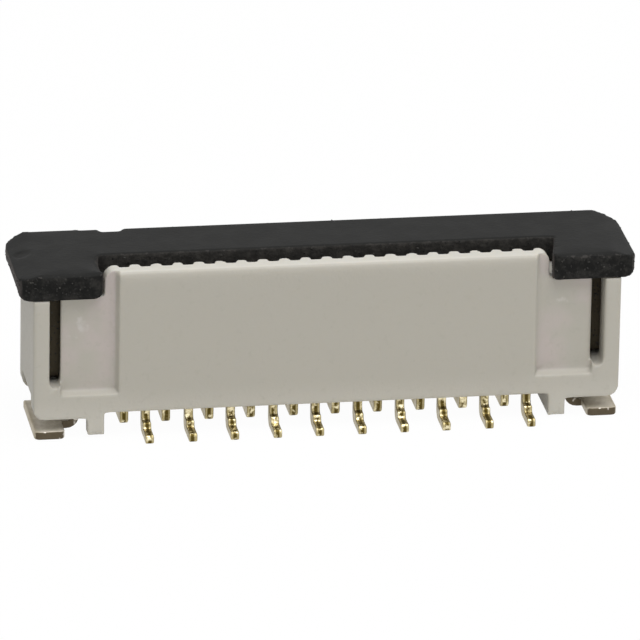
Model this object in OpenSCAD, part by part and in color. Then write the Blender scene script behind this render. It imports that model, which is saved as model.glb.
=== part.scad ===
// Vertical surface-mount connector for flat flexible cable, with a slide lock.
// The cable goes down into the mouth between the front wall and the slider's bar.
// Pushing the slider down drives its tongue behind the cable and presses it on the contacts.
// Millimetres. Z = 0 is the board, -Y is the front, and the origin is the centre of the footprint.

/* [Circuits] */
// Number of contacts
circuits = 20; // [6:2:40]
// Distance between neighbouring contacts
pitch = 0.5; // [0.5:0.05:0.8]
// Flat cable beyond the centre of its outermost conductor, each side
cable_margin = 0.5; // [0.45:0.01:0.6]

/* [Housing] */
// Depth of the housing, front face to rear face
housing_depth = 2.5; // [2.4:0.05:2.9]
// Height of the front wall and of the closed slider above the board
overall_height = 4.07; // [3.9:0.01:4.6]
// Width of each end block beside the cable's cavity
end_block = 1.61; // [1.56:0.01:1.9]
// Board to the underside between the standoffs
underside = 0.6; // [0.55:0.01:0.65]
// Board to the underside of the two end blocks
end_underside = 0.465; // [0.42:0.005:0.52]
// Thickness of the front wall
front_wall = 0.56; // [0.5:0.01:0.6]
// Thickness of the rear wall
rear_wall = 0.55; // [0.5:0.01:0.6]
// Board to the floor that the cable's end rests on
cavity_floor = 1.2; // [1.15:0.01:1.3]
// Depth of the recessed panels beside the raised front face
recess_depth = 0.2; // [0.1:0.01:0.24]
// Board to the ledge under the recessed panels
ledge_height = 1.05; // [0.95:0.01:1.15]
// Raised front face beyond the outermost contact's centre
raised_margin = 0.15; // [0.1:0.01:0.2]
// Radius of the lower outer corners
lower_corner = 0.28; // [0.1:0.01:0.3]

/* [Guide slots] */
// Width of the slot in the front of each end block
guide_slot = 0.27; // [0.22:0.01:0.29]
// Plastic left outside the guide slot
guide_wall = 0.38; // [0.36:0.01:0.4]
// Board to the bottom of the guide slot
guide_floor = 1.25; // [1.2:0.01:1.3]

/* [Standoffs] */
// Width of the standoff posts under the front edge
standoff_width = 0.4; // [0.3:0.01:0.48]
// Board to the bottom of the standoffs
standoff_gap = 0.05; // [0.02:0.01:0.1]
// Depth of the short post at the first contact's end
short_standoff = 0.3; // [0.25:0.01:0.5]
// Depth of the long rib at the last contact's end
long_standoff = 1.6; // [1:0.05:2]

/* [Slider] */
// Thickness of the slider's plate
plate_thickness = 0.645; // [0.6:0.005:0.7]
// Depth of the slider, front of its ears to the back of its bar
slider_depth = 2.92; // [2.8:0.01:2.95]
// How far each ear stands out past the housing's end
ear_overhang = 0.37; // [0.2:0.01:0.4]
// Gap between the front wall and the bar, where the cable goes in
mouth_gap = 0.68; // [0.6:0.01:0.7]
// Length of the tongue below the plate
tongue_length = 1.65; // [1.4:0.01:1.7]
// Width of each guide arm
arm_width = 0.4; // [0.3:0.01:0.42]
// Depth of each guide arm
arm_depth = 0.78; // [0.6:0.01:0.8]
// Upward travel of the slider from locked to open
slider_travel = 1; // [0.8:0.01:1.05]

/* [Contacts] */
// Sheet thickness of the contacts
contact_sheet = 0.2; // [0.15:0.01:0.2]
// How far the solder feet reach past the housing
foot_reach = 0.55; // [0.4:0.01:0.7]
// Thickness of the solder feet
foot_thickness = 0.2; // [0.15:0.01:0.22]
// Height of the point where the contact touches the cable
touch_height = 2.75; // [2.6:0.01:2.85]

/* [Solder tabs] */
// Sheet thickness of the solder tabs
tab_sheet = 0.2; // [0.15:0.01:0.22]
// Width of the tongue that shows in front of the housing
tab_tongue = 0.72; // [0.6:0.01:0.74]
// Depth of the bent part of the solder tab
tab_depth = 1.42; // [1.2:0.01:1.46]
// Width of the bent part, outer edge to the blade's inner face
tab_width = 1.13; // [1.04:0.01:1.16]
// Board to the top of the tab's upright blade
tab_height = 2; // [1.5:0.05:2.2]

/* [Hidden] */
arc_steps = 5;
$fn = 48;
eps = 0.01; // past a face that a cut leaves through

// Colours
housing_colour = "#b3aea1";
slider_colour = "#333332";
contact_colour = "#b8923f";
tab_colour = "#9c968a";

// Clearances
slide_clearance = 0.03; // round the slider's arms
cable_clearance = 0.02; // beside the cable, at the ears
cavity_clearance = 0.05; // beside the cable, in the cavity
wall_clearance = 0.03; // between the front wall's ends and the ears
tongue_clearance = 0.06; // beside the tongue, in the cavity
tongue_gap = 0.11; // behind the tongue
arm_gap = 0.09; // under the closed slider's arms
slot_clearance = 0.02; // round each contact, and round a tab's blade
neck_clearance = 0.05; // over each contact's neck, and over a tab's blade
stop_clearance = 0.03; // over the lugs of the open slider
rear_gap = 0.025; // under the closed slider, at the rear wall

// Across the width, from the middle outwards
row = (circuits - 1) * pitch;
first_contact = -row / 2;
raised_half = row / 2 + raised_margin;
cable_half = row / 2 + cable_margin;
ear_inner = cable_half + cable_clearance;
wall_half = ear_inner - wall_clearance;
cavity_half = cable_half + cavity_clearance;
housing_half = cavity_half + end_block;
ear_outer = housing_half + ear_overhang;
guide_centre = housing_half - guide_wall - guide_slot / 2;
slot_inner = guide_centre - guide_slot / 2;
slot_outer = guide_centre + guide_slot / 2;
standoff_inner = cavity_half - 0.06; // the posts stand under the end blocks' inner edges
tab_outer = housing_half - 0.03; // the tab stays inside the housing's end
tab_inner = tab_outer - tab_width;

// Distances behind the front face
groove_depth = 0.16; // of the contacts' grooves in the front wall
rear_groove_depth = 0.2;
groove_front = front_wall - groove_depth;
bar_front = front_wall + mouth_gap;
cavity_rear = housing_depth - rear_wall;
groove_rear = cavity_rear + rear_groove_depth;
tongue_rear = cavity_rear - tongue_gap;
first_arm_front = 0.45; // the two arms lie at different depths
last_arm_front = 0.66;
lug_depth = 0.22;
tab_front = -0.03; // the tab's tongue shows just past the front face
tab_shoulder = 0.63;
tab_rear = tab_shoulder + tab_depth;
relief_front = 0.5;
neck_outer = groove_front - 0.25; // front of the neck that carries a solder foot
neck_inner = neck_outer + 0.22;

// Heights above the board
shoulder = overall_height - plate_thickness;
relief_top = 0.93;
relief_width = 0.35;
neck_top = underside + 0.3;
neck_slot_top = neck_top + neck_clearance;
standoff_root = underside + 0.2; // sunk into the housing
arm_bottom = guide_floor + arm_gap;
lug_top = arm_bottom + 0.3;
lug_stop = lug_top + slider_travel + stop_clearance;
contact_base_top = cavity_floor - 0.08; // the bridge stays under the cable's end
tab_barb = 0.95;

// Edges and corners
wall_end_radius = 0.27;
wall_edge_radius = 0.12;
groove_flare = 0.05; // widens the mouth of each groove in the front wall
recess_corner = 0.12;
recess_slope = 0.08; // how far the recess's inner side leans over its depth
ledge_rise = 0.08; // from the ledge's front edge to the recessed panel
ear_rear_radius = 0.64;
ear_front_radius = 0.35;
ear_inner_radius = 0.12;
ear_lower_radius = 0.25;
last_lower_radius = 0.12; // along the inner side of the last ear
last_ear_flare = 0.24; // the last ear's inner side slants away from the cable
bevel_width = 0.54;
bevel_drop = 0.15;
bar_edge_radius = 0.08;
rear_pad = 0.1; // the first ear's rear edge stands this far behind the bar's
pad_inset = 0.28; // from the ear's inner side to the pad's end
mark_width = 0.45; // notch that marks the first contact
mark_depth = 0.15;
pip_radius = 0.2; // ejector pin's print in the first ear's bevel
pip_depth = 0.03;
pip_from_side = 0.3;
pip_from_rear = 1.28;
tongue_tip_radius = 0.08;
tongue_taper = 0.4; // share of the tongue's thickness that its thin end leaves off
tongue_taper_height = 0.47;
arm_chamfer = 0.1;
lug_ramp = 0.18;
beam_width = 0.26; // of a contact's spring beam at its foot
touch_reach = 0.42; // how far the touching point stands out of the front wall
touch_radius = 0.18;
tip_radius = 0.07;
corner_radius = 0.06; // small corners of the stamped contacts
bridge_fillet = 0.15;
tab_bend = 0.3; // outer radius of the tab's bend
tab_corner = 0.14;

function contact_name(number) = str("contact_", number < 10 ? "0" : "", number);

// Points on an arc about a centre, from one angle to another.
function arc(centre, radius, from, to) = [
    for (step = [0:arc_steps])
        let (angle = from + (to - from) * step / arc_steps)
            centre + radius * [cos(angle), sin(angle)]
];

// Puts a sub-part drawn behind the front face, Y = 0, into the part's frame.
module in_frame() translate([0, -housing_depth / 2, 0]) children();

// Extrudes an X-Z outline from one depth to another.
module along_y(from, to) translate([0, to, 0]) rotate([90, 0, 0]) linear_extrude(to - from) children();

// Extrudes a Y-Z outline from one X to another.
module along_x(from, to) translate([from, 0, 0]) rotate([90, 0, 90]) linear_extrude(to - from) children();

// A box between two opposite corners.
module block(low, high) translate(low) cube(high - low);

// Its children at the right-hand end, and their mirror image at the other.
module both_ends() {
    children();
    mirror([1, 0, 0]) children();
}

// ---------------------------------------------------------------- housing

// Body up to the shoulders that the slider's ears rest on.
module housing_body() {
    along_y(0, housing_depth) polygon(concat(
        [[housing_half, shoulder], [-housing_half, shoulder]],
        arc([-housing_half + lower_corner, end_underside + lower_corner], lower_corner, 180, 270),
        arc([housing_half - lower_corner, end_underside + lower_corner], lower_corner, 270, 360)
    ));
}

// Wall in front of the cable, higher than the shoulders.
module cable_wall() {
    intersection() {
        along_y(0, front_wall) polygon(concat(
            [[-wall_half, ledge_height], [wall_half, ledge_height]],
            arc([wall_half - wall_end_radius, overall_height - wall_end_radius], wall_end_radius, 0, 90),
            arc([-wall_half + wall_end_radius, overall_height - wall_end_radius], wall_end_radius, 90, 180)
        ));
        along_x(-wall_half, wall_half) polygon(concat(
            [[0, ledge_height], [front_wall, ledge_height], [front_wall, overall_height]],
            arc([wall_edge_radius, overall_height - wall_edge_radius], wall_edge_radius, 90, 180)
        ));
    }
}

// Posts under the front edge that hold the housing just off the board.
module standoff(depth) {
    block([standoff_inner, 0, standoff_gap], [standoff_inner + standoff_width, depth, standoff_root]);
}

// Space for the cable and the slider's tongue.
module cable_cavity() {
    block([-cavity_half, front_wall, cavity_floor],
          [cavity_half, cavity_rear, overall_height + eps]);
    block([-cavity_half, front_wall, shoulder - rear_gap],
          [cavity_half, housing_depth + eps, overall_height + eps]);
}

// Slot that one contact is pushed up into, with a groove in each wall and room for both necks.
module contact_slot(x) {
    half = contact_sheet / 2 + slot_clearance;
    neck_front = neck_outer - slot_clearance;
    neck_rear = housing_depth - neck_front;
    along_x(x - half, x + half) {
        polygon([
            [groove_front, underside - eps], [groove_front, overall_height + eps],
            [front_wall + eps, overall_height + eps], [front_wall + eps, cavity_floor + eps],
            [cavity_rear - eps, cavity_floor + eps], [cavity_rear - eps, touch_height],
            [groove_rear, touch_height], [groove_rear, underside - eps]
        ]);
        polygon([
            [neck_front, underside - eps], [neck_front, neck_slot_top],
            [neck_rear, neck_slot_top], [neck_rear, underside - eps]
        ]);
    }
    translate([x, front_wall, cavity_floor]) linear_extrude(overall_height) polygon([
        [-half, -groove_flare], [-half - groove_flare, 0], [-half - groove_flare, eps],
        [half + groove_flare, eps], [half + groove_flare, 0], [half, -groove_flare]
    ]);
}

// Recessed panel between the raised front face and the guide slot, open upwards, over a sloping ledge.
module front_recess() {
    top = overall_height + eps;
    intersection() {
        along_y(-eps, recess_depth) polygon(concat(
            [[slot_inner, top], [raised_half, top], [raised_half, ledge_height]],
            arc([slot_inner - recess_corner, ledge_height + recess_corner], recess_corner, 270, 360)
        ));
        along_x(raised_half, slot_inner) polygon([
            [-eps, ledge_height], [0, ledge_height], [recess_depth, ledge_height + ledge_rise],
            [recess_depth, top], [-eps, top]
        ]);
        linear_extrude(top) polygon([
            [raised_half, -eps], [raised_half, 0], [raised_half + recess_slope, recess_depth],
            [slot_inner, recess_depth], [slot_inner, -eps]
        ]);
    }
}

// Pocket for a guide arm and its lug, with the slot that opens it to the front.
module guide_pocket(front) {
    half = arm_width / 2 + slide_clearance;
    arm_rear = front + arm_depth + slide_clearance;
    block([guide_centre - half, front - slide_clearance, guide_floor],
          [guide_centre + half, arm_rear, shoulder + eps]);
    block([guide_centre - half, arm_rear - eps, guide_floor],
          [guide_centre + half, arm_rear + lug_depth, lug_stop]);
    along_y(-eps, front) polygon(concat(
        [[slot_outer, shoulder + eps], [slot_inner, shoulder + eps]],
        arc([guide_centre, guide_floor + guide_slot / 2], guide_slot / 2, 180, 360)
    ));
}

// Pocket for a solder tab's blade.
module tab_pocket() {
    block([tab_inner - slot_clearance, tab_shoulder - slot_clearance, end_underside - eps],
          [tab_inner + tab_sheet + slot_clearance, tab_rear + slot_clearance, tab_height + neck_clearance]);
}

// Relief in the lower outer edge, over the solder tab's foot.
module tab_relief() {
    block([housing_half - relief_width, relief_front, end_underside - eps],
          [housing_half + eps, tab_rear + slot_clearance, relief_top]);
}

module housing() {
    color(housing_colour) in_frame() difference() {
        union() {
            difference() {
                housing_body();
                block([-standoff_inner, -eps, end_underside - eps],
                      [standoff_inner, housing_depth + eps, underside]);
            }
            cable_wall();
            mirror([1, 0, 0]) standoff(short_standoff);
            standoff(long_standoff);
        }
        cable_cavity();
        for (number = [0:circuits - 1]) contact_slot(first_contact + number * pitch);
        both_ends() {
            front_recess();
            tab_pocket();
            tab_relief();
        }
        guide_pocket(last_arm_front);
        mirror([1, 0, 0]) guide_pocket(first_arm_front);
    }
}

// ---------------------------------------------------------------- slider

// Outline of one ear from above, from the bar's front round to its rear edge.
function ear_outline(rear, flare) = concat(
    [[ear_inner + flare, bar_front]],
    arc([ear_inner + ear_inner_radius, ear_inner_radius], ear_inner_radius, 180, 270),
    arc([ear_outer - ear_front_radius, ear_front_radius], ear_front_radius, 270, 360),
    arc([ear_outer - ear_rear_radius, rear - ear_rear_radius], ear_rear_radius, 0, 90)
);

// Outline of the plate from above: a bar behind the mouth, with an ear at each end.
module plate_outline() {
    bar = [[0, slider_depth], [0, bar_front]];
    pad_rear = slider_depth + rear_pad;
    pad_end = ear_inner + pad_inset;
    difference() {
        union() {
            polygon(concat(ear_outline(slider_depth, last_ear_flare), bar));
            mirror([1, 0]) polygon(concat(
                ear_outline(pad_rear, 0), [[pad_end, pad_rear], [pad_end - rear_pad, slider_depth]], bar
            ));
        }
        first_mark();
    }
}

// Notch in the rear edge in line with the first contact.
module first_mark() {
    half = mark_width / 2;
    flare = half + mark_depth / 2;
    translate([first_contact, slider_depth])
        polygon([[-flare, eps], [-half, -mark_depth], [half, -mark_depth], [flare, eps]]);
}

// Plate as seen from the front: bevelled upper edges and rounded lower corners at both ends.
module plate_section() {
    side = concat(
        arc([ear_outer - ear_lower_radius, shoulder + ear_lower_radius], ear_lower_radius, 270, 360),
        [[ear_outer, overall_height - bevel_drop], [ear_outer - bevel_width, overall_height]]
    );
    polygon(concat(side, [[0, overall_height], [0, shoulder]]));
    mirror([1, 0]) polygon(concat(side, [[0, overall_height], [0, shoulder]]));
}

// Plate as seen from the end: a rounded upper edge along the back.
module plate_side() {
    rear = slider_depth + rear_pad;
    polygon(concat(
        [[0, shoulder], [rear, shoulder]],
        arc([rear - bar_edge_radius, overall_height - bar_edge_radius], bar_edge_radius, 0, 90),
        arc([bar_edge_radius, overall_height - bar_edge_radius], bar_edge_radius, 90, 180)
    ));
}

module plate() {
    difference() {
        intersection() {
            translate([0, 0, shoulder]) linear_extrude(plate_thickness) plate_outline();
            along_y(-eps, slider_depth + rear_pad + eps) plate_section();
            along_x(-ear_outer, ear_outer) plate_side();
        }
        inner_edge(last_lower_radius, last_ear_flare);
        mirror([1, 0, 0]) inner_edge(ear_lower_radius, 0);
        pip_print();
    }
}

// What the rounded lower edge along an ear's inner side leaves off.
module inner_edge(radius, flare) {
    translate([ear_inner, 0, shoulder]) rotate(-atan(flare / bar_front))
        along_y(-eps, norm([flare, bar_front])) difference() {
            translate([-eps, -eps]) square(radius + eps);
            translate([radius, radius]) circle(radius);
        }
}

// Shallow round print, square to the first ear's bevel.
module pip_print() {
    tilt = atan(bevel_drop / bevel_width);
    surface = overall_height - bevel_drop + pip_from_side * tan(tilt);
    translate([pip_from_side - ear_outer, slider_depth - pip_from_rear, surface])
        rotate([0, -tilt, 0]) translate([0, 0, -pip_depth]) cylinder(r = pip_radius, h = 2 * pip_depth);
}

// Tongue under the bar: it goes down behind the cable, thin end first.
module tongue() {
    half = cavity_half - tongue_clearance;
    radius = tongue_tip_radius;
    tip = shoulder - tongue_length + radius;
    thin_front = bar_front + tongue_taper * (tongue_rear - bar_front);
    along_x(-half, half) polygon(concat(
        [[bar_front, shoulder + eps], [bar_front, tip + tongue_taper_height]],
        arc([thin_front + radius, tip], radius, 180, 270),
        arc([tongue_rear - radius, tip], radius, 270, 360),
        [[tongue_rear, shoulder + eps]]
    ));
}

// Arm that guides the slider in an end block, with the lug that stops it when open.
module guide_arm(front) {
    rear = front + arm_depth;
    lug = rear + lug_depth;
    along_x(guide_centre - arm_width / 2, guide_centre + arm_width / 2) polygon([
        [front, shoulder + eps], [front, arm_bottom + arm_chamfer],
        [front + arm_chamfer, arm_bottom], [rear, arm_bottom],
        [lug, arm_bottom + lug_ramp], [lug, lug_top], [rear, lug_top], [rear, shoulder + eps]
    ]);
}

module slider() {
    color(slider_colour) in_frame() union() {
        plate();
        tongue();
        guide_arm(last_arm_front);
        mirror([1, 0, 0]) guide_arm(first_arm_front);
    }
}

// ---------------------------------------------------------------- contacts

// Solder foot from the neck's outer side, round its tip, to the neck's inner side.
function foot_outline() = let (
    tip = -foot_reach,
    top = foot_thickness,
    step = neck_outer - 0.23, // upright edge between the two steps in the foot's top
    heel = neck_inner - neck_outer + 0.03
) concat(
    arc([neck_outer - 0.1, 0.44], 0.1, 0, -90),
    arc([step + corner_radius, 0.28], corner_radius, 90, 180),
    arc([step - corner_radius, top + corner_radius], corner_radius, 0, -90),
    arc([tip + 0.08, top - 0.08], 0.08, 90, 180),
    arc([tip + 0.04, 0.04], 0.04, 180, 270),
    arc([neck_inner - heel, heel], heel, -90, 0)
);

// An outline at the other side of the housing.
function to_rear(points) = [
    for (last = len(points) - 1, i = [0:last])
        [housing_depth - points[last - i][0], points[last - i][1]]
];

// Upper outer corner of the neck that carries the foot.
function neck_corner() = arc([neck_outer + corner_radius, neck_top - corner_radius], corner_radius, 90, 180);

// Upright beam with the touching point, the bridge under the cable and the leg in the rear wall.
function fork_outline() = let (
    leg_front = cavity_rear + slot_clearance,
    leg_rear = groove_rear - slot_clearance,
    leg_top = touch_height - 0.15,
    leg_barb = cavity_floor + 0.3,
    beam_front = groove_front + slot_clearance,
    beam_rear = beam_front + beam_width,
    touch = front_wall + touch_reach,
    small = corner_radius,
    fillet = bridge_fillet
) concat(
    // barb and top of the rear leg
    [[leg_rear, leg_barb], [groove_rear, leg_barb + 0.05],
     [groove_rear, leg_barb + 0.12], [leg_rear, leg_barb + 0.3]],
    arc([leg_rear - small, leg_top - small], small, 0, 90),
    arc([leg_front + small, leg_top - small], small, 90, 180),
    // bridge
    arc([leg_front - fillet, contact_base_top + fillet], fillet, 0, -90),
    arc([beam_rear + fillet, contact_base_top + fillet], fillet, 270, 180),
    // rear edge of the beam, touching point and tip
    [[touch - 0.12, touch_height - 0.28]],
    arc([touch - touch_radius, touch_height], touch_radius, -35, 60),
    arc([touch - 0.38, touch_height + 0.45], tip_radius, 30, 190),
    // front edge of the beam
    [[touch - 0.26, touch_height], [touch - 0.32, touch_height - 0.35], [beam_front, cavity_floor + 0.15]],
    // front barb
    [[beam_front, contact_base_top], [groove_front, contact_base_top - 0.03],
     [beam_front, contact_base_top - 0.15]]
);

// Contact whose foot is at the front.
function front_contact() = let (base = underside + slot_clearance) concat(
    fork_outline(),
    [[groove_front + slot_clearance, neck_top]],
    neck_corner(),
    foot_outline(),
    [[neck_inner, base], [groove_rear - slot_clearance, base]]
);

// Contact whose foot is at the rear, with a bar along the underside to the front.
function rear_contact() = let (
    bar_end = 0.24,
    bar_bottom = 0.2,
    bar_top = underside - slot_clearance,
    bar_nose = 0.13
) concat(
    fork_outline(),
    [[groove_front + slot_clearance, bar_top]],
    arc([bar_end + 0.1, bar_top - 0.1], 0.1, 90, 180),
    arc([bar_end + bar_nose, bar_bottom + bar_nose], bar_nose, 180, 270),
    [[housing_depth - neck_inner - 0.05, bar_bottom]],
    to_rear(foot_outline()),
    to_rear(neck_corner()),
    [[groove_rear - slot_clearance, neck_top]]
);

// One stamped contact. Odd numbers have their foot at the rear, even numbers at the front.
module contact(number) {
    x = first_contact + (number - 1) * pitch;
    color(contact_colour) in_frame() along_x(x - contact_sheet / 2, x + contact_sheet / 2)
        polygon(number % 2 == 1 ? rear_contact() : front_contact());
}

// ---------------------------------------------------------------- solder tabs

// The sheet as seen from the front: a foot on the board, bent up into a blade.
module tab_section() {
    polygon(concat(
        [[tab_outer, 0], [tab_outer, tab_sheet]],
        arc([tab_inner + tab_bend, tab_bend], tab_bend - tab_sheet, 270, 180),
        [[tab_inner + tab_sheet, tab_height], [tab_inner, tab_height]],
        arc([tab_inner + tab_bend, tab_bend], tab_bend, 180, 270)
    ));
}

// The blade as seen from the end: barbs that hold it in the housing, and a narrower upper end.
module blade_side() {
    middle = (tab_shoulder + tab_rear) / 2;
    half = tab_depth / 2;
    inset = 0.06;
    taper = 0.3;
    side = [
        [half, 0], [half, tab_barb - 0.05], [half + slot_clearance, tab_barb],
        [half - inset, tab_barb + 0.2], [half - inset, tab_height - taper], [half - taper, tab_height]
    ];
    outline = concat(side, [[0, tab_height], [0, 0]]);
    for (turn = [0, 1]) translate([middle, 0]) mirror([turn, 0]) polygon(outline);
}

// Tongue of the foot that shows in front of the housing.
module tab_tongue_outline() {
    tongue_inner = tab_outer - tab_tongue;
    polygon(concat(
        [[tab_outer, tab_shoulder + eps], [tongue_inner, tab_shoulder + eps]],
        arc([tongue_inner + tab_corner, tab_front + tab_corner], tab_corner, 180, 270),
        arc([tab_outer - tab_corner, tab_front + tab_corner], tab_corner, 270, 360)
    ));
}

module solder_tab() {
    intersection() {
        along_y(tab_shoulder - slot_clearance, tab_rear + slot_clearance) tab_section();
        along_x(tab_inner, tab_outer) blade_side();
    }
    linear_extrude(tab_sheet) tab_tongue_outline();
}

module solder_tab_left() color(tab_colour) in_frame() mirror([1, 0, 0]) solder_tab();

module solder_tab_right() color(tab_colour) in_frame() solder_tab();

housing();
slider();
solder_tab_left();
solder_tab_right();
for (number = [1:circuits]) contact(number);
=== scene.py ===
"""Finishes and studio for an upright flat-cable connector with a slide lock.

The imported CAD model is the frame. Its mouldings and solder tabs are dressed as copies with softened edges,
its stamped contacts as two rows made by one Geometry Nodes tree, and every finish is a procedural material.
"""

import logging
import math
from collections.abc import Iterable
from dataclasses import dataclass
from enum import Enum
from typing import Any

import bmesh
import bpy
from mathutils import Matrix, Vector


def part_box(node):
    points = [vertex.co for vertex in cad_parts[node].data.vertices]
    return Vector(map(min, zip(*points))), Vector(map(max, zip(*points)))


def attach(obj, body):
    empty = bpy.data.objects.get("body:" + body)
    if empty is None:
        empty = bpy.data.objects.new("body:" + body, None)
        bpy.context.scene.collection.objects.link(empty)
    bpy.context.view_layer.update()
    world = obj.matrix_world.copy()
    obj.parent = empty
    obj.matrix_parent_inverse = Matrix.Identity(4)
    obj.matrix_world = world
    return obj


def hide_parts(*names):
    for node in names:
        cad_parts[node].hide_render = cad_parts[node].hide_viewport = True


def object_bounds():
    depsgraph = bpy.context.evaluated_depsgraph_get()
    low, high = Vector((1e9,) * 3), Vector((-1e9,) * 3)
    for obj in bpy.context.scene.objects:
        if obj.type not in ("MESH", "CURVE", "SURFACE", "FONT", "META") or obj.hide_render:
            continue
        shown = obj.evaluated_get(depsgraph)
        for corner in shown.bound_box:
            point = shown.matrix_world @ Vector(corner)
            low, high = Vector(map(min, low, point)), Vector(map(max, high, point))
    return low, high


LOG = logging.getLogger("flat_cable_connector")
MM = 0.001
# Vertices closer than this, in millimetres, are one.
WELD_MM = 1e-4
# Faces that meet at less than this angle are one flat face.
FLAT = math.radians(0.5)
# Flat stretches of a fine skin may merge into faces this many cells wide.
MERGED_CELLS = 5
# How far each smoothing pass moves a vertex towards the middle of its neighbours.
SMOOTHING = 0.5

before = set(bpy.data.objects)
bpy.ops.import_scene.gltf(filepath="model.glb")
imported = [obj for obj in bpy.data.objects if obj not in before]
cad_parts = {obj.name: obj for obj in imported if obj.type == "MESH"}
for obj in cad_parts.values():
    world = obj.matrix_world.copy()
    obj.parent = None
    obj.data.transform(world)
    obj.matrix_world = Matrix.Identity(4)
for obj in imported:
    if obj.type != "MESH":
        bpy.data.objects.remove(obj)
CAD_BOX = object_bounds()


class Body(Enum):
    """The rigid bodies of the frame."""

    BASE = "base"
    SLIDER = "slider"


class Slot(Enum):
    """The record's material slots."""

    HOUSING = "housing_plastic"
    SLIDER = "slider_plastic"
    CONTACTS = "contact_gold"
    TABS = "tab_metal"


# ------------------------------------------------------------------ small helpers


def linear(hex_colour: str) -> tuple[float, float, float, float]:
    """Turns an sRGB hex colour into linear light.

    Args:
        hex_colour: Six hex digits after a hash.

    Returns:
        Red, green, blue and an alpha of 1.
    """
    digits = hex_colour.lstrip("#")
    channels = [int(digits[i : i + 2], 16) / 255 for i in (0, 2, 4)]
    # The numbers are those of the sRGB curve itself.
    light = [c / 12.92 if c <= 0.04045 else ((c + 0.055) / 1.055) ** 2.4 for c in channels]
    return (light[0], light[1], light[2], 1.0)


def per_mm(size: float) -> float:
    """Scale of a pattern on Object coordinates whose cells are size millimetres wide."""
    return 1 / (size * MM)


def add(
    tree: bpy.types.NodeTree, kind: str, links: dict[Any, Any] | None = None, **settings: Any
) -> bpy.types.Node:
    """Adds one node to a tree.

    Args:
        tree: The node tree.
        kind: The node's type name.
        links: What each input takes, by name or number: a socket to link, or a constant value.
        **settings: Properties of the node.

    Returns:
        The new node.
    """
    node = tree.nodes.new(kind)
    for name, value in settings.items():
        setattr(node, name, value)
    for name, value in (links or {}).items():
        if isinstance(value, bpy.types.NodeSocket):
            tree.links.new(value, node.inputs[name])
        else:
            node.inputs[name].default_value = value
    return node


def contact_nodes(first: int) -> list[str]:
    """Names of every second contact along the row, from 1 (rear feet) or from 2 (front feet)."""
    names = sorted(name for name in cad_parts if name.startswith("contact_"))
    return names[first - 1 :: 2]


def middle_x(node: str) -> float:
    """X of the middle of a node's box, in metres."""
    low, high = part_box(node)
    return (low.x + high.x) / 2


def pitch() -> float:
    """Distance between neighbouring contacts, in metres."""
    return middle_x("contact_02") - middle_x("contact_01")


# ------------------------------------------------------------------ finishes


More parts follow.
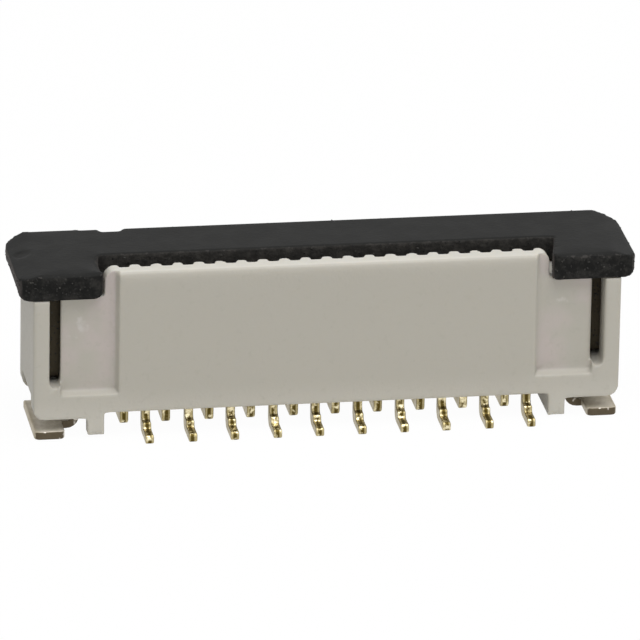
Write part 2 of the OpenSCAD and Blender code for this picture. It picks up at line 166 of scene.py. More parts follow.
class Patterns:
    """Shader patterns on Object coordinates, in one material's tree."""

    def __init__(self, name: str) -> None:
        """Starts an empty material.

        Args:
            name: The material's name.
        """
        self.material = bpy.data.materials.new(name)
        self.material.use_nodes = True
        self.tree = self.material.node_tree
        self.tree.nodes.clear()
        self.place = add(self.tree, "ShaderNodeTexCoord")

    def noise(self, size: float, detail: float = 2.0, roughness: float = 0.5) -> bpy.types.NodeSocket:
        """Adds clouds of a size in millimetres.

        Args:
            size: Width of one cloud.
            detail: How many finer layers lie on it.
            roughness: How strong those layers are.

        Returns:
            A value around 0.5.
        """
        links = {
            "Vector": self.place.outputs["Object"],
            "Scale": per_mm(size),
            "Detail": detail,
            "Roughness": roughness,
        }
        return add(self.tree, "ShaderNodeTexNoise", links).outputs["Fac"]

    def ramp(
        self, value: bpy.types.NodeSocket, low: float, high: float, to: tuple[float, float] = (0.0, 1.0)
    ) -> bpy.types.NodeSocket:
        """Maps a value smoothly between two levels.

        Args:
            value: The value.
            low: Where the result starts to change.
            high: Where it stops.
            to: The results at low and at high.

        Returns:
            The mapped value.
        """
        links = {"Value": value, "From Min": low, "From Max": high, "To Min": to[0], "To Max": to[1]}
        node = add(self.tree, "ShaderNodeMapRange", links, interpolation_type="SMOOTHSTEP")
        return node.outputs["Result"]

    def calculate(self, operation: str, first: Any, second: Any = 0.0) -> bpy.types.NodeSocket:
        """Result of one of Blender's named operations on two sockets or numbers."""
        return add(self.tree, "ShaderNodeMath", {0: first, 1: second}, operation=operation).outputs[0]

    def both(self, first: Any, second: Any) -> bpy.types.NodeSocket:
        """Product of two shares, each a socket or a number."""
        return self.calculate("MULTIPLY", first, second)

    def blend(self, share: Any, first: Any, second: Any) -> bpy.types.NodeSocket:
        """Blends two colours.

        Args:
            share: How much of the second shows.
            first: A hex colour or a socket.
            second: A hex colour or a socket.

        Returns:
            The blended colour.
        """
        pair = [linear(colour) if isinstance(colour, str) else colour for colour in (first, second)]
        links = {"Factor": share, 6: pair[0], 7: pair[1]}
        return add(self.tree, "ShaderNodeMix", links, data_type="RGBA").outputs[2]

    def facing(self, axis: str) -> bpy.types.NodeSocket:
        """How squarely the surface faces along an axis of the part, from -1 to 1."""
        links = {0: self.place.outputs["Normal"]}
        return add(self.tree, "ShaderNodeSeparateXYZ", links).outputs[axis]

    def square_to(self, axis: str) -> bpy.types.NodeSocket:
        """How squarely the surface faces either way along an axis of the part, from 0 to 1."""
        return self.calculate("ABSOLUTE", self.facing(axis))

    def coordinate(self, axis: str) -> bpy.types.NodeSocket:
        """Place along an axis of the part, in metres."""
        links = {0: self.place.outputs["Object"]}
        return add(self.tree, "ShaderNodeSeparateXYZ", links).outputs[axis]

    def bump(
        self, height: bpy.types.NodeSocket, depth: float, strength: float = 1.0
    ) -> bpy.types.NodeSocket:
        """Normal of a relief, from a pattern between 0 and 1 and a depth in millimetres."""
        links = {"Height": height, "Strength": strength, "Distance": depth * MM}
        return add(self.tree, "ShaderNodeBump", links).outputs["Normal"]

    def finish(self, **inputs: Any) -> bpy.types.Material:
        """Ends the material with one Principled shader.

        Args:
            **inputs: The shader's inputs, with underscores for spaces.

        Returns:
            The material.
        """
        links = {name.replace("_", " "): value for name, value in inputs.items()}
        shader = add(self.tree, "ShaderNodeBsdfPrincipled", links)
        add(self.tree, "ShaderNodeOutputMaterial", {"Surface": shader.outputs[0]})
        return self.material


@dataclass(frozen=True)
class MouldedNylon:
    """Natural glass-filled nylon, injection moulded: warm grey, slightly translucent, with a satin skin.

    Sizes and depths are in millimetres.
    """

    name: str = "Glass-filled nylon, natural, moulded"
    plain: str = "#AFABA1"
    warm: str = "#B7AEA9"
    fleck: str = "#A6A297"
    smear: str = "#C6C3BF"
    # Pale colour for painted light: highlights on upward faces, and the paler standoffs and strips.
    painted_highlight: str = "#D4D1C8"
    cloud_size: float = 1.1
    fleck_size: float = 0.16
    smear_size: float = 0.8
    grain_size: float = 0.07
    grain_depth: float = 0.006
    front_skin: float = 0.03
    sunk_depth: float = 0.15
    sunk_end: float = 0.35
    sunk_fade: float = 0.2
    strip_width: float = 0.66
    strip_fade: float = 0.35
    standoff_height: float = 0.35
    standoff_fade: float = 0.95
    crest_depth: float = 0.87
    crest_fade: float = 0.3

    def build(self) -> bpy.types.Material:
        """Builds the material.

        Returns:
            The material.
        """
        made = Patterns(self.name)
        low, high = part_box("housing")
        upright = made.ramp(made.square_to("Y"), 0.5, 0.9)
        sunk = self._sunk(made, upright, low.y)
        painted_glow = self._painted_glow(made, upright, high.x)
        resin = self._resin(made, sunk, painted_glow)
        # The real satin grain is finer than this, and is drawn as coarse as it has to be to show.
        grain = made.noise(self.grain_size, 3.0, 0.6)
        return made.finish(
            Base_Color=self._highlights_and_smears(made, resin, sunk, high.z),
            Roughness=made.ramp(grain, 0.3, 0.7, (0.46, 0.6)),
            IOR=1.53,
            Specular_IOR_Level=0.3,
            Subsurface_Weight=0.15,
            Subsurface_Radius=(1.0, 0.8, 0.55),
            Subsurface_Scale=0.25 * MM,
            Normal=made.bump(grain, self.grain_depth),
        )

    def _sunk(
        self, made: Patterns, upright: bpy.types.NodeSocket, front: float
    ) -> bpy.types.NodeSocket:
        """Finds the faces that are sunk a little behind the front face.

        Args:
            made: The material's patterns.
            upright: 1 on faces square to the front.
            front: Y of the front face, in metres.

        Returns:
            1 on those faces, and little elsewhere.
        """
        depth = made.coordinate("Y")
        behind = made.ramp(depth, front + self.front_skin * MM, front + self.sunk_depth * MM)
        end = front + self.sunk_end * MM
        shallow = made.ramp(depth, end, end + self.sunk_fade * MM, (1.0, 0.15))
        return made.both(made.both(upright, behind), shallow)

    def _painted_glow(
        self, made: Patterns, upright: bpy.types.NodeSocket, half: float
    ) -> bpy.types.NodeSocket:
        """Finds the slender standoffs and outer strips, which are painted paler as painted light.

        Args:
            made: The material's patterns.
            upright: 1 on faces square to the front.
            half: Half the housing's width, in metres.

        Returns:
            1 on the standoffs, and less on the strips.
        """
        inner = half - self.strip_width * MM
        off_centre = made.calculate("ABSOLUTE", made.coordinate("X"))
        strips = made.ramp(off_centre, inner, inner + self.strip_fade * MM)
        top = (self.standoff_height + self.standoff_fade) * MM
        standoffs = made.ramp(made.coordinate("Z"), top, self.standoff_height * MM)
        return made.both(upright, made.calculate("MAXIMUM", made.both(strips, 0.3), standoffs))

    def _resin(
        self, made: Patterns, sunk: bpy.types.NodeSocket, painted_glow: bpy.types.NodeSocket
    ) -> bpy.types.NodeSocket:
        """Colours the resin as it comes from the mould, with painted light on the standoffs and strips.

        Args:
            made: The material's patterns.
            sunk: 1 on the sunk faces.
            painted_glow: 1 where the resin is painted paler as painted light.

        Returns:
            The colour.
        """
        # Unpigmented resin picks up warm flow clouds, and glass fibres show as soft darker flecks. Real
        # fibres are a hundredth of a millimetre thick, too fine to show, so the flecks are drawn coarser.
        clouds = made.ramp(made.noise(self.cloud_size, 3.0), 0.36, 0.64)
        # The standoffs and strips are painted paler: painted light.
        body = made.blend(made.both(painted_glow, 0.33), self.plain, self.painted_highlight)
        clouded = made.blend(made.both(clouds, sunk), body, self.warm)
        flecks = made.ramp(made.noise(self.fleck_size, 2.0, 0.6), 0.56, 0.78, (0.0, 0.35))
        return made.blend(flecks, clouded, self.fleck)

    def _highlights_and_smears(
        self, made: Patterns, resin: bpy.types.NodeSocket, sunk: bpy.types.NodeSocket, top: float
    ) -> bpy.types.NodeSocket:
        """Adds painted highlights, paler upward edges and crown tops, and a few smears on sunk faces.

        Args:
            made: The material's patterns.
            resin: The colour so far.
            sunk: 1 on the sunk faces.
            top: Z of the housing's top, in metres.

        Returns:
            The colour.
        """
        # Painted highlight: faces that turn upwards are painted paler, and the crown tops most.
        rise = made.facing("Z")
        full = top - self.crest_depth * MM
        height = made.ramp(made.coordinate("Z"), full - self.crest_fade * MM, full, (0.0, 0.75))
        crest_highlights = made.both(made.ramp(rise, 0.78, 0.95), height)
        edges = made.calculate("MAXIMUM", made.ramp(rise, 0.3, 0.8, (0.0, 0.25)), crest_highlights)
        smears = made.ramp(made.noise(self.smear_size, 4.0, 0.65), 0.62, 0.74, (0.0, 0.6))
        smeared = made.blend(made.both(smears, sunk), resin, self.smear)
        return made.blend(edges, smeared, self.painted_highlight)


@dataclass(frozen=True)
class GrainyPolymer:
    """Black glass-filled liquid-crystal polymer, injection moulded: matt, coarse on its upright faces.

    Sizes and depths are in millimetres.
    """

    name: str = "Glass-filled LCP, black, moulded"
    top: str = "#151514"
    top_worn: str = "#1B1B1A"
    upright: str = "#131312"
    upright_torn: str = "#2B2A28"
    # Torn colour of the inner faces, also painted lighter: painted light.
    inner_torn_and_lit: str = "#413F3C"
    # Paler colour for the plate's end faces: painted light from the side.
    end: str = "#474341"
    # Pale specks on the rounded edges: scuffs and painted glints.
    scuff_and_glint: str = "#3B3937"
    below: str = "#3F392D"
    wear_size: float = 0.5
    tear_size: float = 0.3
    speck_size: float = 0.12
    grain_size: float = 0.1
    grain_depth: float = 0.03
    plate_thickness: float = 0.62
    plate_fade: float = 0.05
    ear_skin: float = 0.25
    ear_fade: float = 0.2

    def build(self) -> bpy.types.Material:
        """Builds the material.

        Returns:
            The material.
        """
        made = Patterns(self.name)
        low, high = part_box("slider")
        rise = made.square_to("Z")
        smooth = made.ramp(rise, 0.35, 0.8)
        bottom = high.z - self.plate_thickness * MM
        plate = made.ramp(made.coordinate("Z"), bottom - self.plate_fade * MM, bottom)
        upper = made.blend(smooth, self._rough(made, plate, low.y), self._skin(made))
        scuffed_and_glinting = made.blend(self._scuffs_and_glints(made, rise), upper, self.scuff_and_glint)
        # The grain stands for single fibres under the skin, which are finer than it and would not show.
        grain = made.noise(self.grain_size, 4.0, 0.65)
        relief = made.both(grain, made.ramp(smooth, 0.0, 1.0, (1.0, 0.2)))
        # Below the plate the polymer is painted browner: painted light bounced off the pale housing beside
        # it.
        return made.finish(
            Base_Color=made.blend(plate, self.below, scuffed_and_glinting),
            Roughness=made.ramp(smooth, 0.0, 1.0, (0.75, 0.65)),
            IOR=1.6,
            Specular_IOR_Level=0.1,
            Normal=made.bump(relief, self.grain_depth),
        )

    def _skin(self, made: Patterns) -> bpy.types.NodeSocket:
        """Colour of the smooth dark skin on top."""
        wear = made.ramp(made.noise(self.wear_size, 3.0), 0.35, 0.7)
        return made.blend(wear, self.top, self.top_worn)

    def _rough(
        self, made: Patterns, plate: bpy.types.NodeSocket, front: float
    ) -> bpy.types.NodeSocket:
        """Colours the upright faces, which drag in the mould and tear into coarse lighter spots, with
        painted light on the inner and end faces.

        Args:
            made: The material's patterns.
            plate: 1 on the plate, 0 below it.
            front: Y of the ears' front faces, in metres.

        Returns:
            The colour.
        """
        tears = made.ramp(made.noise(self.tear_size, 5.0, 0.75), 0.42, 0.66)
        # Faces behind the ears' front are torn and also painted lighter: painted light where they lie in
        # shade.
        start = front + self.ear_skin * MM
        behind = made.ramp(made.coordinate("Y"), start, start + self.ear_fade * MM)
        whole = made.blend(behind, self.upright, self.upright_torn)
        torn = made.blend(behind, self.upright_torn, self.inner_torn_and_lit)
        # The plate's end faces are painted paler: painted light from the side.
        ends = made.both(made.ramp(made.square_to("X"), 0.6, 0.95), plate)
        return made.blend(ends, made.blend(tears, whole, torn), self.end)

    def _scuffs_and_glints(self, made: Patterns, rise: bpy.types.NodeSocket) -> bpy.types.NodeSocket:
        """Share of small pale specks along the rounded edges, partly scuffs and partly painted glints, from
        how squarely the surface faces up.
        """
        rounded = made.both(made.ramp(rise, 0.08, 0.3), made.ramp(rise, 0.9, 0.6))
        return made.both(rounded, made.ramp(made.noise(self.speck_size, 2.0, 0.6), 0.55, 0.66))


@dataclass(frozen=True)
class FibreEnds:
    """Glass fibre ends bound in black polymer: low dark grains, a few of them paler."""

    name: str = "Fibre ends in black LCP"
    dark: str = "#242322"
    pale: str = "#403F3C"
    share_size: float = 0.12

    def build(self) -> bpy.types.Material:
        """Builds the material.

        Returns:
            The material.
        """
        made = Patterns(self.name)
        # Only a few ends break through the skin and catch the light, and black resin coats the rest. The
        # grains that this finish dresses are a few fibres across, because a single one would not show.
        pick = made.ramp(made.noise(self.share_size, 0.0), 0.6, 0.72)
        colour = made.blend(pick, self.dark, self.pale)
        return made.finish(Base_Color=colour, Roughness=0.6, IOR=1.6, Specular_IOR_Level=0.15)


@dataclass(frozen=True)
class GoldPlate:
    """Thin gold plating over stamped phosphor bronze: cut edges streaked with painted highlights and shade,
    even rolled sides painted greyer.

    Sizes, depths and heights are in millimetres, and the painted dark middle is a share of the pitch.
    """

    name: str = "Gold plating, stamped phosphor bronze"
    painted_highlight_gold: str = "#EFE4C0"
    gold: str = "#B0A37A"
    # Painted shade and dark reflection for the middle of the cut edges.
    dark: str = "#54471F"
    side: str = "#AFA58A"
    streak_size: float = 0.15
    grain_size: float = 0.05
    grain_depth: float = 0.02
    dark_middle_half: float = 0.05
    dark_middle_fade: float = 0.08
    foot_top: float = 0.35
    stem_top: float = 0.7

    def build(self) -> bpy.types.Material:
        """Builds the material.

        Returns:
            The material.
        """
        made = Patterns(self.name)
        streaks = made.noise(self.streak_size, 3.0, 0.6)
        # Streaks of pale gold on the cut edges are painted highlights.
        gold = made.blend(made.ramp(streaks, 0.5, 0.68), self.gold, self.painted_highlight_gold)
        # The cut edge is painted dark in its middle and bright at its rims: painted dark reflections and
        # shade, and painted highlights, with more dark on the foot.
        reach = made.ramp(
            made.coordinate("Z"), self.foot_top * MM, self.stem_top * MM, (0.62, 0.54)
        )
        patches = made.ramp(made.calculate("SUBTRACT", reach, streaks), 0.0, 0.12)
        cut = made.blend(made.both(self._painted_dark_middle(made), patches), gold, self.dark)
        # The rolled sides are painted greyer and less golden: a painted reflection of the surroundings.
        rolled = made.ramp(made.square_to("X"), 0.75, 0.95)
        # The crystals of the plating are too fine to show, so the relief is drawn coarser.
        return made.finish(
            Base_Color=made.blend(rolled, cut, self.side),
            Metallic=1.0,
            Roughness=made.ramp(streaks, 0.35, 0.65, (0.55, 0.36)),
            Normal=made.bump(made.noise(self.grain_size, 2.0), self.grain_depth, 0.6),
        )

    def _painted_dark_middle(self, made: Patterns) -> bpy.types.NodeSocket:
        """Finds the middle of each contact's cut edge, where painted shade is drawn.

        Args:
            made: The material's patterns.

        Returns:
            1 in the middle of a contact, 0 at its rims.
        """
        along = made.calculate("DIVIDE", made.coordinate("X"), pitch())
        phase = made.calculate("SUBTRACT", along, middle_x("contact_01") / pitch())
        nearest = made.calculate("ROUND", phase)
        off_centre = made.calculate("ABSOLUTE", made.calculate("SUBTRACT", phase, nearest))
        return made.ramp(off_centre, self.dark_middle_half, self.dark_middle_half + self.dark_middle_fade, (1.0, 0.0))


@dataclass(frozen=True)
class TinPlate:
    """Matte tin plating over stamped brass sheet: dull warm grey, with a dark sheared edge.

    Sizes and depths are in millimetres.
    """

    name: str = "Matte tin plating, stamped brass"
    tin: str = "#E8E2D7"
    dull: str = "#D5CFC2"
    tarnish: str = "#A2977F"
    sheared: str = "#584E3D"
    blotch_size: float = 0.25
    # Size of the painted glints on the sheared edge.
    smear_size: float = 0.16
    grain_size: float = 0.07
    grain_depth: float = 0.015
    rim_width: float = 0.2
    middle_half: float = 1.0

    def build(self) -> bpy.types.Material:
        """Builds the material.

        Returns:
            The material.
        """
        made = Patterns(self.name)
        blotches = made.ramp(made.noise(self.blotch_size, 3.0, 0.6), 0.35, 0.65)
        plated = made.blend(blotches, self.dull, self.tin)
        flat = made.blend(self._tarnished(made), plated, self.tarnish)
        # The shears leave the front edge bare and brown; its few streaks of tin colour are painted glints.
        smears = made.ramp(made.noise(self.smear_size, 1.0), 0.6, 0.7, (0.0, 0.8))
        bare = made.blend(smears, self.sheared, self.tin)
        edge = made.ramp(made.square_to("Y"), 0.45, 0.75)
        # The crystals of matte tin are too fine to show, so the grain is drawn coarser.
        grain = made.noise(self.grain_size, 3.0, 0.6)
        return made.finish(
            Base_Color=made.blend(edge, flat, bare),
            Metallic=0.7,
            Roughness=made.ramp(blotches, 0.0, 1.0, (0.62, 0.5)),
            Normal=made.bump(grain, self.grain_depth, 0.6),
        )

    def _tarnished(self, made: Patterns) -> bpy.types.NodeSocket:
        """Finds where the tin has tarnished: on the last tab and along the outer rims.

        Args:
            made: The material's patterns.

        Returns:
            How much tarnish there is.
        """
        across = made.coordinate("X")
        last = made.ramp(across, -self.middle_half * MM, self.middle_half * MM, (0.0, 0.5))
        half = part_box("solder_tab_right")[1].x
        off_centre = made.calculate("ABSOLUTE", across)
        rim = made.ramp(off_centre, half - self.rim_width * MM, half, (0.0, 0.8))
        return made.calculate("MAXIMUM", last, rim)


# ------------------------------------------------------------------ meshes


def welded(node: str, name: str) -> bpy.types.Object:
    """Copies a CAD node's mesh, in millimetres, and welds its loose triangles.

    Args:
        node: The node.
        name: Name of the new piece.

    Returns:
        The new piece, at the origin.
    """
    shape = bmesh.new()
    shape.from_mesh(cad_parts[node].data)
    bmesh.ops.scale(shape, vec=Vector((1, 1, 1)) / MM, verts=shape.verts)
    bmesh.ops.remove_doubles(shape, verts=shape.verts, dist=WELD_MM)
    bmesh.ops.dissolve_limit(shape, angle_limit=FLAT, verts=shape.verts, edges=shape.edges)
    mesh = bpy.data.meshes.new(name)
    shape.to_mesh(mesh)
    shape.free()
    piece = bpy.data.objects.new(name, mesh)
    bpy.context.scene.collection.objects.link(piece)
    return piece


def moulded(node: str, name: str, cell: float, passes: int) -> bpy.types.Object:
    """Copies a moulding and softens all its edges, as a mould's own radii do.

    Args:
        node: The node.
        name: Name of the new piece.
        cell: Size of the fine grid that the skin is rebuilt on, in millimetres.
        passes: How often the skin is smoothed.

    Returns:
        The new piece, in metres.
    """
    piece = welded(node, name)
    skin = piece.modifiers.new("fine skin", "REMESH")
    skin.mode = "VOXEL"
    skin.voxel_size = cell
    skin.adaptivity = MERGED_CELLS * cell
    skin.use_smooth_shade = True
    soft = piece.modifiers.new("soft edges", "SMOOTH")
    soft.factor = SMOOTHING
    soft.iterations = passes
    return baked(piece)


def stamped(
    node: str, name: str, radius: float, segments: int = 2, least_angle: float = 30.0
) -> bpy.types.Object:
    """Copies a sheet metal piece and rounds its sharp edges.

    Args:
        node: The node.
        name: Name of the new piece.
        radius: Width of the rounding, in millimetres.
        segments: How many facets the rounding has.
        least_angle: Edges that turn less than this, in degrees, stay as they are.

    Returns:
        The new piece, in metres.
    """
    piece = welded(node, name)
    for polygon in piece.data.polygons:
        polygon.use_smooth = True
    rounding = piece.modifiers.new("rounded edges", "BEVEL")
    rounding.width = radius
    rounding.segments = segments
    rounding.limit_method = "ANGLE"
    rounding.angle_limit = math.radians(least_angle)
    rounding.use_clamp_overlap = False
    piece.modifiers.new("flat faces stay flat", "WEIGHTED_NORMAL")
    return baked(piece)


def baked(piece: bpy.types.Object) -> bpy.types.Object:
    """Turns a piece's modifiers, which work in millimetres, into a plain mesh in metres.

    Args:
        piece: The piece.

    Returns:
        The same piece.
    """
    view = bpy.context.evaluated_depsgraph_get()
    mesh = bpy.data.meshes.new_from_object(piece.evaluated_get(view), depsgraph=view)
    mesh.name = piece.name
    piece.modifiers.clear()
    piece.data = mesh
    mesh.transform(Matrix.Scale(MM, 4))
    return piece


def hand_over(piece: bpy.types.Object, body: Body, nodes: Iterable[str] = ()) -> None:
    """Puts a finished piece into the frame and reports it.

    Args:
        piece: The piece.
        body: The body that it moves with.
        nodes: The CAD nodes that it stands for.
    """
    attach(piece, body.value)
    for node in nodes:
        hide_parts(node)
    triangles = sum(len(polygon.vertices) - 2 for polygon in piece.data.polygons)
    LOG.info("%s: %d triangles on %s", piece.name, triangles, body.value)


def paint(piece: bpy.types.Object, material: bpy.types.Material) -> None:
    """Gives a piece one material."""
    piece.data.materials.clear()
    piece.data.materials.append(material)


# ------------------------------------------------------------------ pieces


@dataclass
class Housing:
    """The pale moulding that holds the contacts. Its sizes are in millimetres."""

    cell: float = 0.03
    passes: int = 3

    def build(self) -> None:
        """Makes the moulding with its softened edges."""
        finish = MouldedNylon().build()
        piece = moulded("housing", "housing_moulding", self.cell, self.passes)
        paint(piece, finish)
        paint(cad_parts["housing"], finish)
        hand_over(piece, Body.BASE, ["housing"])


@dataclass
class SlideLock:
    """The dark moulding that slides down to lock the cable, with fibre ends on its upright faces.

    Its sizes are in millimetres, and the grains lean by an angle in radians.
    """

    cell: float = 0.03
    passes: int = 5
    grains_per_mm2: float = 45.0
    grain_size: float = 0.035
    grain_lean: float = 0.5
    least_stretch: tuple[float, float, float] = (0.4, 0.3, 0.2)
    most_stretch: tuple[float, float, float] = (1.3, 0.8, 0.5)
    most_tilt: float = 0.3
    seed: int = 7

    def build(self) -> None:
        """Makes the moulding and its fibre ends."""
        finish = GrainyPolymer().build()
        piece = moulded("slider", "slide_lock_moulding", self.cell, self.passes)
        paint(piece, finish)
        paint(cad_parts["slider"], finish)
        hand_over(piece, Body.SLIDER, ["slider"])
        hand_over(self._fibre_ends(piece), Body.SLIDER)

    def _fibre_ends(self, moulding: bpy.types.Object) -> bpy.types.Object:
        """Scatters low grains over the moulding's upright faces.

        Args:
            moulding: The softened moulding.

        Returns:
            The grains, as one piece.
        """
        mesh = moulding.data.copy()
        mesh.transform(Matrix.Scale(1 / MM, 4))
        piece = bpy.data.objects.new("slide_lock_fibre_ends", mesh)
        bpy.context.scene.collection.objects.link(piece)
        tree = self._grain_tree()
        inputs = {
            "Grains per mm2": self.grains_per_mm2,
            "Grain size": self.grain_size,
            "Seed": self.seed,
            "Finish": FibreEnds().build(),
        }
        return baked(run_tree(piece, tree, inputs))

    def _grain_tree(self) -> bpy.types.NodeTree:
        """Builds the Geometry Nodes tree that scatters the grains, in millimetres.

        Returns:
            The tree.
        """
        sockets = {
            "Grains per mm2": "Float",
            "Grain size": "Float",
            "Seed": "Int",
            "Finish": "Material",
        }
        tree, given, result = new_tree("Fibre ends on upright faces", sockets)
        scatter = add(
            tree,
            "GeometryNodeDistributePointsOnFaces",
            {
                "Mesh": given["Geometry"],
                "Selection": self._upright(tree),
                "Density": given["Grains per mm2"],
                "Seed": given["Seed"],
            },
        )
        grain = add(
            tree, "GeometryNodeMeshIcoSphere", {"Radius": given["Grain size"], "Subdivisions": 1}
        )
        full_turn = (self.grain_lean, self.grain_lean, math.tau)
        turn = self._between(tree, (0.0, 0.0, 0.0), full_turn, given["Seed"])
        aligned = add(
            tree,
            "FunctionNodeRotateRotation",
            {0: scatter.outputs["Rotation"], 1: turn},
            rotation_space="LOCAL",
        )
        grains = add(
            tree,
            "GeometryNodeInstanceOnPoints",
            {
                "Points": scatter.outputs["Points"],
                "Instance": grain.outputs["Mesh"],
                "Rotation": aligned.outputs[0],
                "Scale": self._between(tree, self.least_stretch, self.most_stretch, given["Seed"]),
            },
        )
        end_tree(tree, grains.outputs[0], given["Finish"], result)
        return tree

    def _upright(self, tree: bpy.types.NodeTree) -> bpy.types.NodeSocket:
        """Adds the test of a face that stands nearly upright.

        Args:
            tree: The tree to add it to.

        Returns:
            True on such a face.
        """
        normal = add(tree, "GeometryNodeInputNormal").outputs[0]
        rise = add(tree, "ShaderNodeSeparateXYZ", {0: normal}).outputs["Z"]
        tilt = add(tree, "ShaderNodeMath", {0: rise}, operation="ABSOLUTE").outputs[0]
        links = {0: tilt, 1: self.most_tilt}
        return add(tree, "FunctionNodeCompare", links, operation="LESS_THAN").outputs[0]

    def _between(
        self,
        tree: bpy.types.NodeTree,
        least: tuple[float, float, float],
        most: tuple[float, float, float],
        seed: bpy.types.NodeSocket,
    ) -> bpy.types.NodeSocket:
        """Three random numbers, each from its least to its most, as a vector."""
        links = {0: least, 1: most, "Seed": seed}
        return add(tree, "FunctionNodeRandomValue", links, data_type="FLOAT_VECTOR").outputs[0]


@dataclass
class SolderTabs:
    """The two bent tabs that hold the connector on its board. Sizes are in millimetres."""

    edge: float = 0.035

    def build(self) -> None:
        """Makes both tabs with their rounded sheared edges."""
        finish = TinPlate().build()
        for node in ("solder_tab_left", "solder_tab_right"):
            piece = stamped(node, f"{node}_sheet", self.edge)
            paint(piece, finish)
            paint(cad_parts[node], finish)
            hand_over(piece, Body.BASE, [node])


@dataclass
class ContactRow:
    """One row of stamped contacts, every second one of the connector.

    Its sizes are in millimetres, and each contact may turn by an angle in degrees.
    """

    name: str
    first: int
    finish: bpy.types.Material
    edge: float = 0.03
    jitter: float = 0.006
    turn: float = 0.5
    seed: int = 3

    def build(self) -> None:
        """Makes the row from one softened contact."""
        nodes = contact_nodes(self.first)
        blank = stamped(nodes[0], self.name, self.edge)
        centred = Matrix.Translation((-middle_x(nodes[0]), 0, 0))
        blank.data.transform(Matrix.Scale(1 / MM, 4) @ centred)
        inputs = {
            "Contacts": len(nodes),
            "First contact": middle_x(nodes[0]) / MM,
            "Spacing": 2 * pitch() / MM,
            "Jitter": self.jitter,
            "Turn": math.radians(self.turn),
            "Seed": self.seed + self.first,
            "Finish": self.finish,
        }
        piece = baked(run_tree(blank, self._tree(), inputs))
        for node in nodes:
            paint(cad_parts[node], self.finish)
        hand_over(piece, Body.BASE, nodes)

    def _tree(self) -> bpy.types.NodeTree:
        """Builds the Geometry Nodes tree that sets the blank out along the row, in millimetres.

        Returns:
            The tree.
        """
        sockets = {
            "Contacts": "Int",
            "First contact": "Float",
            "Spacing": "Float",
            "Jitter": "Float",
            "Turn": "Float",
            "Seed": "Int",
            "Finish": "Material",
        }
        tree, given, result = new_tree("Contact row", sockets)
        start = add(tree, "ShaderNodeCombineXYZ", {"X": given["First contact"]})
        step = add(tree, "ShaderNodeCombineXYZ", {"X": given["Spacing"]})
        line = add(
            tree,
            "GeometryNodeMeshLine",
            {
                "Count": given["Contacts"],
                "Start Location": start.outputs[0],
                "Offset": step.outputs[0],
            },
            mode="OFFSET",
        )
        drift = self._random(tree, given["Jitter"], given["Seed"])
        shift = add(tree, "ShaderNodeCombineXYZ", {"X": drift})
        moved = add(
            tree,
            "GeometryNodeSetPosition",
            {"Geometry": line.outputs[0], "Offset": shift.outputs[0]},
        )
        yaw = self._random(tree, given["Turn"], given["Seed"])
        rotation = add(tree, "ShaderNodeCombineXYZ", {"Z": yaw})
        contacts = add(
            tree,
            "GeometryNodeInstanceOnPoints",
            {
                "Points": moved.outputs[0],
                "Instance": given["Geometry"],
                "Rotation": rotation.outputs[0],
            },
        )
        end_tree(tree, contacts.outputs[0], given["Finish"], result)
        return tree

    def _random(
        self, tree: bpy.types.NodeTree, most: bpy.types.NodeSocket, seed: bpy.types.NodeSocket
    ) -> bpy.types.NodeSocket:
        """Adds a random number that is as often below zero as above.

        Args:
            tree: The tree to add it to.
            most: How far from zero it may be.
            seed: The seed.

        Returns:
            The number.
        """
        least = add(tree, "ShaderNodeMath", {0: most, 1: -1.0}, operation="MULTIPLY")
        links = {2: least.outputs[0], 3: most, "Seed": seed}
        return add(tree, "FunctionNodeRandomValue", links).outputs[1]


# ------------------------------------------------------------------ Geometry Nodes


def new_tree(
    name: str, sockets: dict[str, str]
) -> tuple[bpy.types.NodeTree, dict[str, bpy.types.NodeSocket], bpy.types.Node]:
    """Starts a Geometry Nodes tree.

    Args:
        name: The tree's name.
        sockets: Its named inputs after the geometry, each with its type.

    Returns:
        The tree, its inputs by name, and its output node.
    """
    tree = bpy.data.node_groups.new(name, "GeometryNodeTree")
    tree.interface.new_socket("Geometry", in_out="INPUT", socket_type="NodeSocketGeometry")
    for socket, kind in sockets.items():
        tree.interface.new_socket(socket, in_out="INPUT", socket_type=f"NodeSocket{kind}")
    tree.interface.new_socket("Geometry", in_out="OUTPUT", socket_type="NodeSocketGeometry")
    entry = add(tree, "NodeGroupInput")
    given = {socket.name: socket for socket in entry.outputs if socket.name}
    return tree, given, add(tree, "NodeGroupOutput")


def end_tree(
    tree: bpy.types.NodeTree,
    instances: bpy.types.NodeSocket,
    finish: bpy.types.NodeSocket,
    result: bpy.types.Node,
) -> None:
    """Ends a tree with plain geometry in one finish.

    Args:
        tree: The tree.
        instances: What it made.
        finish: The material's input.
        result: The output node.
    """
    real = add(tree, "GeometryNodeRealizeInstances", {0: instances})
    dressed = add(tree, "GeometryNodeSetMaterial", {"Geometry": real.outputs[0], "Material": finish})
    tree.links.new(dressed.outputs[0], result.inputs[0])


def run_tree(
    piece: bpy.types.Object, tree: bpy.types.NodeTree, inputs: dict[str, Any]
) -> bpy.types.Object:
    """Puts a tree on a piece and sets its named inputs.

    Args:
        piece: The piece.
        tree: The tree.
        inputs: A value for each named input.

    Returns:
        The same piece.
    """
    modifier = piece.modifiers.new(tree.name, "NODES")
    modifier.node_group = tree
    for item in tree.interface.items_tree:
        if item.in_out == "INPUT" and item.name in inputs:
            modifier[item.identifier] = inputs[item.name]
    return piece


# ------------------------------------------------------------------ studio


@dataclass(frozen=True)
class Softbox:
    """A square soft lamp aimed at the object, in metres. A radiance of 1 makes its face white."""

    name: str
    place: Vector
    side: float
    radiance: float

    def build(self) -> None:
        """Hangs the lamp."""
        data = bpy.data.lights.new(self.name, "AREA")
        data.shape = "SQUARE"
        data.size = self.side
        data.energy = self.radiance * math.pi * self.side * self.side
        lamp = bpy.data.objects.new(self.name, data)
        lamp.location = self.place
        lamp.rotation_mode = "QUATERNION"
        lamp.rotation_quaternion = (-self.place).to_track_quat("-Z", "Y")
        bpy.context.scene.collection.objects.link(lamp)


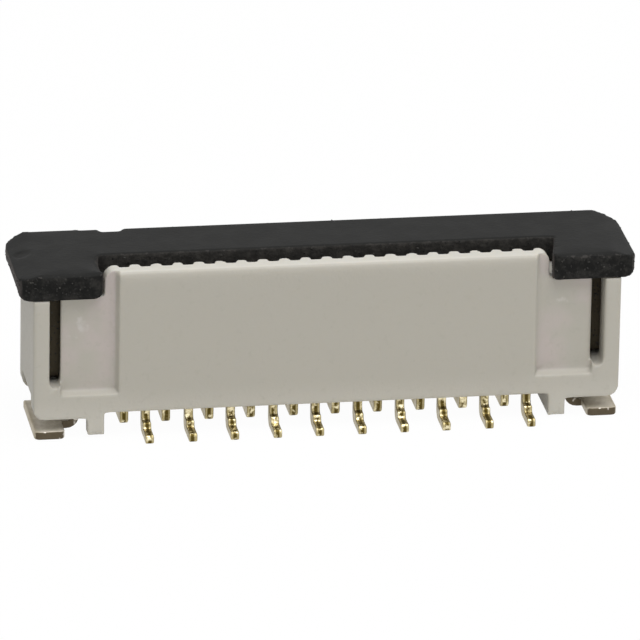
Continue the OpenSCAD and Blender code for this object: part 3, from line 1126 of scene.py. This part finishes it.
@dataclass
class Studio:
    """White floor, even white surroundings and two soft lamps."""

    floor_half: float = 400 * MM
    floor_colour: str = "#F8F8F6"
    white: str = "#FFFFFF"
    ambient: float = 0.27
    floor_glow: float = 0.97
    lamps: tuple[Softbox, ...] = (
        Softbox("Overhead softbox", Vector((20, -60, 260)) * MM, 220 * MM, 4.4),
        Softbox("Front softbox", Vector((30, -340, 70)) * MM, 200 * MM, 1.5),
    )

    def build(self) -> None:
        """Makes the floor, the world and the lamps, and sets the plain view transform."""
        self._floor()
        self._world()
        for lamp in self.lamps:
            lamp.build()
        bpy.context.scene.view_settings.view_transform = "Standard"

    def _floor(self) -> None:
        """Makes the floor at the level of the solder feet."""
        mesh = bpy.data.meshes.new("floor")
        level = CAD_BOX[0].z
        signs = ((-1, -1), (1, -1), (1, 1), (-1, 1))
        corners = [(x * self.floor_half, y * self.floor_half, level) for x, y in signs]
        mesh.from_pydata(corners, [], [(0, 1, 2, 3)])
        floor = bpy.data.objects.new("floor", mesh)
        bpy.context.scene.collection.objects.link(floor)
        made = Patterns("Matt white board")
        tree = made.tree
        seen = self._seen_directly(tree)
        board = add(tree, "ShaderNodeBsdfDiffuse", {"Color": linear(self.floor_colour)})
        glow = add(tree, "ShaderNodeEmission", {"Color": linear(self.white), "Strength": 1.0})
        links = {0: made.both(seen, self.floor_glow), 1: board.outputs[0], 2: glow.outputs[0]}
        surface = add(tree, "ShaderNodeMixShader", links)
        add(tree, "ShaderNodeOutputMaterial", {"Surface": surface.outputs[0]})
        mesh.materials.append(made.material)

    def _seen_directly(self, tree: bpy.types.NodeTree) -> bpy.types.NodeSocket:
        """Adds the test of a ray that shows the surroundings themselves.

        Such a ray comes from the camera, off a glossy surface or through clear matter.

        Args:
            tree: The tree to add it to.

        Returns:
            A socket that is 1 for such a ray and 0 for light that falls on the object.
        """
        path = add(tree, "ShaderNodeLightPath")
        result = path.outputs["Is Camera Ray"]
        for kind in ("Is Glossy Ray", "Is Transmission Ray"):
            links = {0: result, 1: path.outputs[kind]}
            result = add(tree, "ShaderNodeMath", links, operation="MAXIMUM").outputs[0]
        return result

    def _world(self) -> None:
        """Makes the surroundings: white to the eye, and dimmer as light."""
        world = bpy.data.worlds.new("White surroundings")
        world.use_nodes = True
        tree = world.node_tree
        tree.nodes.clear()
        seen = self._seen_directly(tree)
        levels = {"Value": seen, "To Min": self.ambient, "To Max": 1.0}
        strength = add(tree, "ShaderNodeMapRange", levels).outputs["Result"]
        links = {"Color": linear(self.white), "Strength": strength}
        background = add(tree, "ShaderNodeBackground", links)
        add(tree, "ShaderNodeOutputWorld", {"Surface": background.outputs[0]})
        bpy.context.scene.world = world


@dataclass
class ProductCamera:
    """Long lens a little left of the front and above it.

    Angles are in degrees, the lens and its sensor in millimetres, and all the rest in metres.
    """

    azimuth: float = -9.447
    elevation: float = 21.15
    roll: float = 1.022
    distance: float = 200 * MM
    lens: float = 484.45
    sensor: float = 36.0
    aim_x: float = -0.2086 * MM
    aim_z: float = 2.696 * MM
    nearest: float = 10 * MM
    farthest: float = 5.0

    def build(self) -> None:
        """Makes the camera and looks through it."""
        data = bpy.data.cameras.new("product_camera")
        data.lens = self.lens
        data.sensor_width = self.sensor
        data.clip_start = self.nearest
        data.clip_end = self.farthest
        camera = bpy.data.objects.new("product_camera", data)
        aim = Vector((self.aim_x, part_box("housing")[0].y, self.aim_z))
        turn = self._turn()
        camera.matrix_world = Matrix.Translation(aim + turn.col[2] * self.distance) @ turn.to_4x4()
        bpy.context.scene.collection.objects.link(camera)
        bpy.context.scene.camera = camera

    def _turn(self) -> Matrix:
        """Works out how the camera is turned.

        Returns:
            Its right, its up and its back direction, as columns.
        """
        across, up = math.radians(self.azimuth), math.radians(self.elevation)
        right = Vector((math.cos(across), math.sin(across), 0.0))
        back = Vector((math.sin(across) * math.cos(up), -math.cos(across) * math.cos(up), math.sin(up)))
        level = Matrix((right, back.cross(right), back)).transposed()
        return level @ Matrix.Rotation(math.radians(self.roll), 3, "Z")


# ------------------------------------------------------------------ whole scene


def main() -> None:
    """Builds the studio, the camera and the pieces in order."""
    logging.basicConfig(level=logging.INFO, format="%(name)s: %(message)s")
    Studio().build()
    ProductCamera().build()
    Housing().build()
    SlideLock().build()
    SolderTabs().build()
    gold = GoldPlate().build()
    ContactRow("rear_foot_contacts", 1, gold).build()
    ContactRow("front_foot_contacts", 2, gold).build()


if __name__ == "__main__":
    main()
